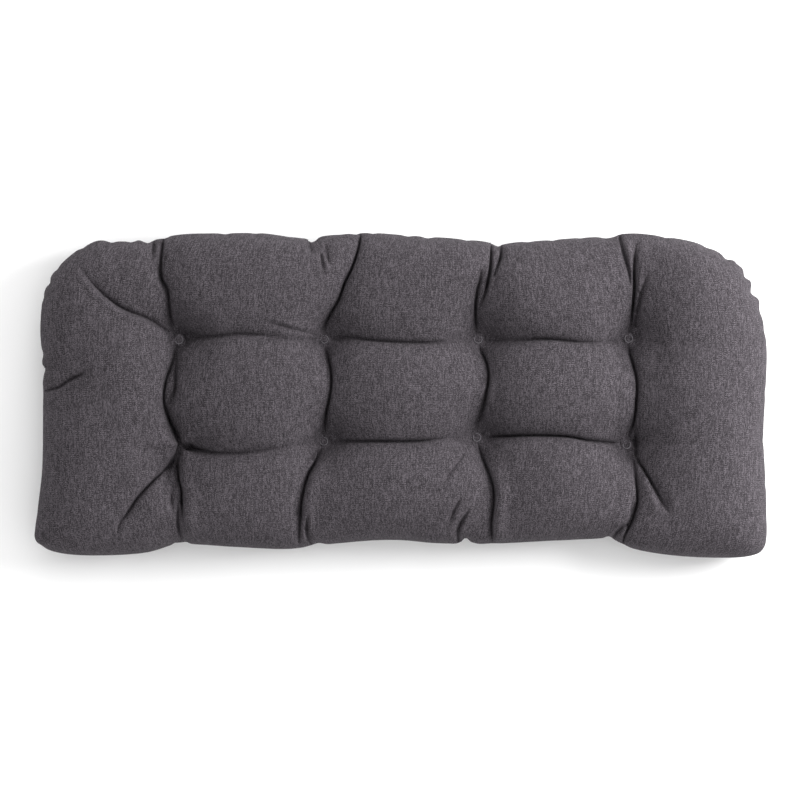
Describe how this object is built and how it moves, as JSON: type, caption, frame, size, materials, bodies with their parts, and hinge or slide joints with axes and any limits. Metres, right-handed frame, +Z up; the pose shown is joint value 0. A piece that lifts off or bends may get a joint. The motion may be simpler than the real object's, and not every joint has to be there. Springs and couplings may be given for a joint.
{
  "type": "settee cushion",
  "caption": "Long tufted settee seat cushion in dark heathered cloth, with rounded back corners, square front corners, a self-seamed edge and stitched circle tacks.",
  "frame": {"origin": "centre of the cushion's bounding box on its underside, where it rests on the seat", "axes": "+X along the settee, to the right of someone who faces it; +Y to the settee's back, where the corners are round; +Z up"},
  "size_m": [1.1188, 0.4976, 0.1175],
  "materials": {
    "cover": "matt heathered plain weave, dark grey with light flecks",
    "thread": "thick twisted polyester thread, mid grey"
  },
  "bodies": {
    "root": {"cushion": "cover", "tack_back_1": "thread", "tack_back_2": "thread", "tack_back_3": "thread", "tack_back_4": "thread", "tack_front_1": "thread", "tack_front_2": "thread", "tack_front_3": "thread", "tack_front_4": "thread", "tack_under_back_1": "thread", "tack_under_back_2": "thread", "tack_under_back_3": "thread", "tack_under_back_4": "thread", "tack_under_front_1": "thread", "tack_under_front_2": "thread", "tack_under_front_3": "thread", "tack_under_front_4": "thread"}
  },
  "joints": []
}
